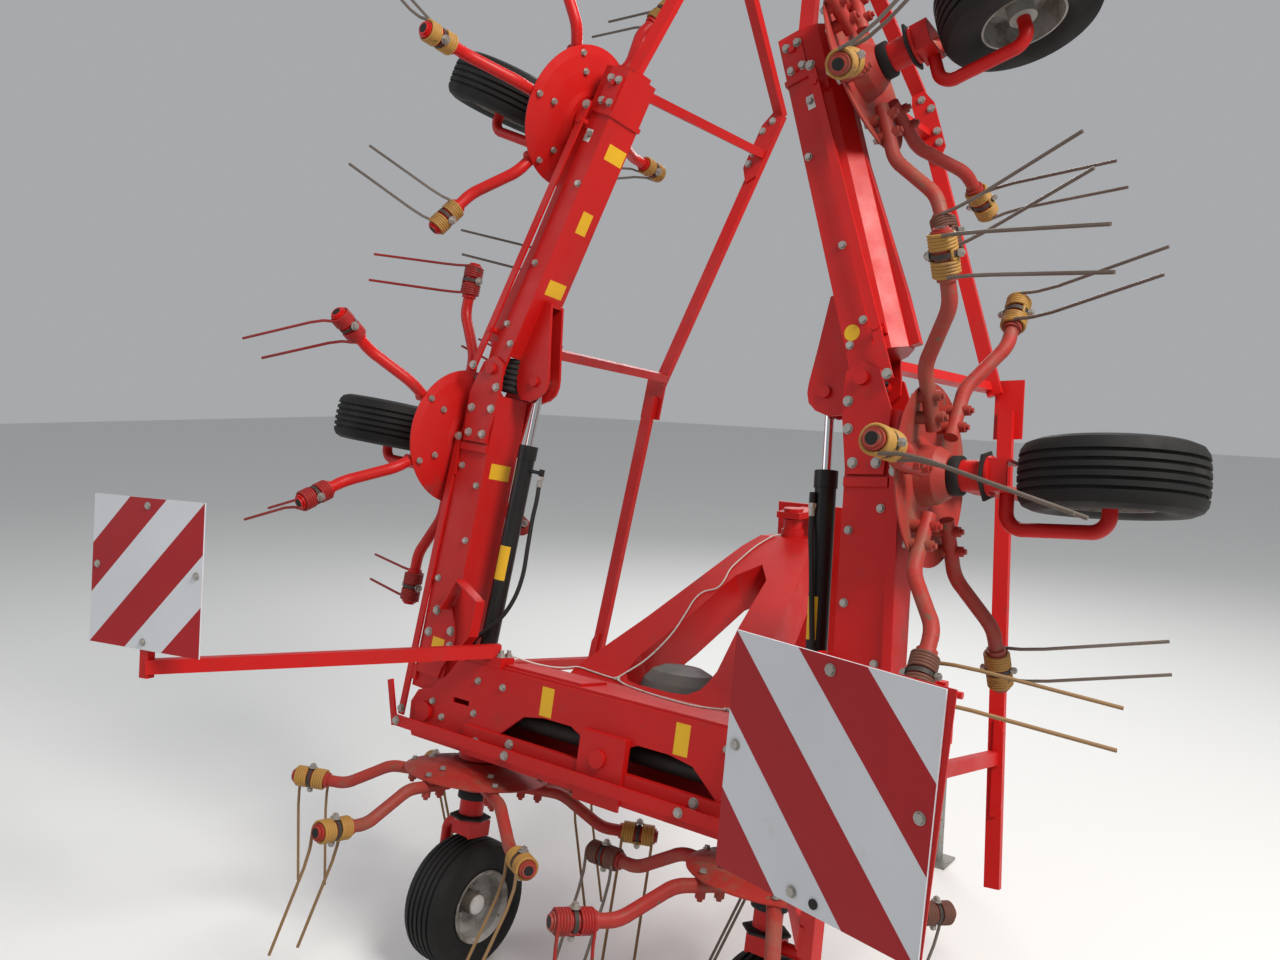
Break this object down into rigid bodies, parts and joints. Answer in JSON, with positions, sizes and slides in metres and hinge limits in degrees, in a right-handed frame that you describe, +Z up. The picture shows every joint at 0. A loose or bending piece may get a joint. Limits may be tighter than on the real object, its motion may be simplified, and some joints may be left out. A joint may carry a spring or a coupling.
{
  "type": "mounted six-rotor hay tedder",
  "caption": "Mounted rotary hay tedder with coil-spring tines, wings folded upright for the road, on its centre wheels and stand",
  "frame": {"origin": "on the ground under the middle of the folded machine's outline", "axes": "X to the machine's right, Y forward towards the tractor, Z up"},
  "size_m": [2.8404, 2.507, 3.4008],
  "materials": {
    "red_paint": "satin",
    "bare_steel": "matte",
    "gearbox_iron": "matte",
    "grey_plastic": "matte",
    "board_sheet": "satin",
    "tine_wire": "satin",
    "tyre_rubber": "matte",
    "rim_paint": "satin",
    "black_paint": "satin",
    "hose_rubber": "matte",
    "rope_fibre": "matte",
    "chrome_rod": "gloss"
  },
  "bodies": {
    "frame": {"main_beam": "red_paint", "drawbar": "red_paint", "driveline": "gearbox_iron", "pto_guard": "grey_plastic", "centre_hubs": "red_paint", "board_arms": "red_paint", "warning_boards": "board_sheet", "steering_bar": "red_paint", "pull_rope": "rope_fibre", "drawbar_rope": "rope_fibre"},
    "headstock": {"headstock": "red_paint"},
    "parking_stand": {"parking_stand": "bare_steel"},
    "inner_wing_l": {"inner_arm_l": "red_paint", "inner_hub_l": "red_paint", "inner_guard_l": "red_paint", "steering_rod_l": "red_paint"},
    "outer_wing_l": {"outer_arm_l": "red_paint", "outer_hub_l": "red_paint", "outer_guard_l": "red_paint", "outer_rod_l": "red_paint"},
    "barrel_l": {"cylinder_barrel_l": "black_paint", "hose_l": "hose_rubber"},
    "rod_l": {"cylinder_rod_l": "chrome_rod"},
    "centre_rotor_l": {"centre_rotor_l": "red_paint", "centre_tines_l": "tine_wire"},
    "centre_wheel_l": {"centre_tyre_l": "tyre_rubber", "centre_rim_l": "rim_paint"},
    "inner_rotor_l": {"inner_rotor_l": "red_paint", "inner_tines_l": "tine_wire"},
    "inner_wheel_l": {"inner_tyre_l": "tyre_rubber", "inner_rim_l": "rim_paint"},
    "outer_rotor_l": {"outer_rotor_l": "red_paint", "outer_tines_l": "tine_wire"},
    "outer_wheel_l": {"outer_tyre_l": "tyre_rubber", "outer_rim_l": "rim_paint"},
    "inner_wing_r": {"inner_arm_r": "red_paint", "inner_hub_r": "red_paint", "inner_guard_r": "red_paint", "steering_rod_r": "red_paint"},
    "outer_wing_r": {"outer_arm_r": "red_paint", "outer_hub_r": "red_paint", "outer_guard_r": "red_paint", "outer_rod_r": "red_paint"},
    "barrel_r": {"cylinder_barrel_r": "black_paint", "hose_r": "hose_rubber"},
    "rod_r": {"cylinder_rod_r": "chrome_rod"},
    "centre_rotor_r": {"centre_rotor_r": "red_paint", "centre_tines_r": "tine_wire"},
    "centre_wheel_r": {"centre_tyre_r": "tyre_rubber", "centre_rim_r": "rim_paint"},
    "inner_rotor_r": {"inner_rotor_r": "red_paint", "inner_tines_r": "tine_wire"},
    "inner_wheel_r": {"inner_tyre_r": "tyre_rubber", "inner_rim_r": "rim_paint"},
    "outer_rotor_r": {"outer_rotor_r": "red_paint", "outer_tines_r": "tine_wire"},
    "outer_wheel_r": {"outer_tyre_r": "tyre_rubber", "outer_rim_r": "rim_paint"}
  },
  "joints": [
    {"name": "headstock_swivel", "type": "hinge", "parent": "frame", "child": "headstock", "pos_m": [0, 0.628, 1.23], "axis": [0, 0, 1], "range_deg": [-15, 15]},
    {"name": "stand_lift", "type": "slide", "parent": "headstock", "child": "parking_stand", "axis": [0, 0, 1], "range_m": [0, 0.25]},
    {"name": "wing_fold_l", "type": "hinge", "parent": "frame", "child": "inner_wing_l", "pos_m": [-0.72, -0.33169, 0.75204], "axis": [0, -0.9823, 0.1874], "range_deg": [0, 94]},
    {"name": "tip_fold_l", "type": "hinge", "parent": "inner_wing_l", "child": "outer_wing_l", "pos_m": [-0.64208, -0.1229, 1.84659], "axis": [0, -0.9823, 0.1874], "range_deg": [0, 16.5]},
    {"name": "barrel_turn_l", "type": "hinge", "parent": "frame", "child": "barrel_l", "pos_m": [-0.59, -0.3261, 0.85075], "axis": [0, -0.9823, 0.1874], "range_deg": [0, 95]},
    {"name": "rod_slide_l", "type": "slide", "parent": "barrel_l", "child": "rod_l", "axis": [0.0785, 0.1868, 0.9793], "range_m": [0, 0.3]},
    {"name": "wing_fold_r", "type": "hinge", "parent": "frame", "child": "inner_wing_r", "pos_m": [0.72, -0.33169, 0.75204], "axis": [0, 0.9823, -0.1874], "range_deg": [0, 94]},
    {"name": "tip_fold_r", "type": "hinge", "parent": "inner_wing_r", "child": "outer_wing_r", "pos_m": [0.64208, -0.1229, 1.84659], "axis": [0, 0.9823, -0.1874], "range_deg": [0, 16.5]},
    {"name": "barrel_turn_r", "type": "hinge", "parent": "frame", "child": "barrel_r", "pos_m": [0.59, -0.3261, 0.85075], "axis": [0, 0.9823, -0.1874], "range_deg": [0, 95]},
    {"name": "rod_slide_r", "type": "slide", "parent": "barrel_r", "child": "rod_r", "axis": [-0.0785, 0.1868, 0.9793], "range_m": [0, 0.3]},
    {"name": "outer_rotor_turn_l", "type": "hinge", "parent": "outer_wing_l", "child": "outer_rotor_l", "pos_m": [-0.51908, 0.00666, 2.68585], "axis": [0.9367, -0.0656, -0.344], "continuous": true},
    {"name": "inner_rotor_turn_l", "type": "hinge", "parent": "inner_wing_l", "child": "inner_rotor_l", "pos_m": [-0.83982, -0.19335, 1.63734], "axis": [0.9976, -0.0131, -0.0685], "continuous": true},
    {"name": "centre_rotor_turn_l", "type": "hinge", "parent": "frame", "child": "centre_rotor_l", "pos_m": [-0.535, -0.39526, 0.57889], "axis": [0, 0.1874, 0.9823], "continuous": true},
    {"name": "centre_rotor_turn_r", "type": "hinge", "parent": "frame", "child": "centre_rotor_r", "pos_m": [0.535, -0.39526, 0.57889], "axis": [0, 0.1874, 0.9823], "continuous": true},
    {"name": "inner_rotor_turn_r", "type": "hinge", "parent": "inner_wing_r", "child": "inner_rotor_r", "pos_m": [0.83982, -0.19335, 1.63734], "axis": [-0.9976, -0.0131, -0.0685], "continuous": true},
    {"name": "outer_rotor_turn_r", "type": "hinge", "parent": "outer_wing_r", "child": "outer_rotor_r", "pos_m": [0.51908, 0.00666, 2.68585], "axis": [-0.9367, -0.0656, -0.344], "continuous": true},
    {"name": "centre_wheel_turn_l", "type": "hinge", "parent": "frame", "child": "centre_wheel_l", "pos_m": [-0.535, -0.437, 0.2], "axis": [1, 0, 0], "continuous": true},
    {"name": "centre_wheel_turn_r", "type": "hinge", "parent": "frame", "child": "centre_wheel_r", "pos_m": [0.535, -0.437, 0.2], "axis": [1, 0, 0], "continuous": true},
    {"name": "inner_wheel_turn_l", "type": "hinge", "parent": "inner_wing_l", "child": "inner_wheel_l", "pos_m": [-1.2189, -0.15892, 1.65776], "axis": [-0.0698, -0.1869, -0.9799], "continuous": true},
    {"name": "inner_wheel_turn_r", "type": "hinge", "parent": "inner_wing_r", "child": "inner_wheel_r", "pos_m": [1.2189, -0.15892, 1.65776], "axis": [-0.0698, 0.1869, 0.9799], "continuous": true},
    {"name": "outer_wheel_turn_l", "type": "hinge", "parent": "outer_wing_l", "child": "outer_wheel_l", "pos_m": [-0.87502, 0.06107, 2.81095], "axis": [-0.3502, -0.1755, -0.9201], "continuous": true},
    {"name": "outer_wheel_turn_r", "type": "hinge", "parent": "outer_wing_r", "child": "outer_wheel_r", "pos_m": [0.87502, 0.06107, 2.81095], "axis": [-0.3502, 0.1755, 0.9201], "continuous": true}
  ],
  "couplings": [
    {"joint": "barrel_turn_l", "follows": "wing_fold_l", "ratio": 0.98872},
    {"joint": "rod_slide_l", "follows": "wing_fold_l", "m_per_rad": 0.14461},
    {"joint": "barrel_turn_r", "follows": "wing_fold_r", "ratio": 0.98872},
    {"joint": "rod_slide_r", "follows": "wing_fold_r", "m_per_rad": 0.14461},
    {"joint": "outer_rotor_turn_l", "follows": "centre_rotor_turn_l", "ratio": 1},
    {"joint": "inner_rotor_turn_l", "follows": "centre_rotor_turn_l", "ratio": -1},
    {"joint": "centre_rotor_turn_r", "follows": "centre_rotor_turn_l", "ratio": -1},
    {"joint": "inner_rotor_turn_r", "follows": "centre_rotor_turn_l", "ratio": 1},
    {"joint": "outer_rotor_turn_r", "follows": "centre_rotor_turn_l", "ratio": -1}
  ]
}
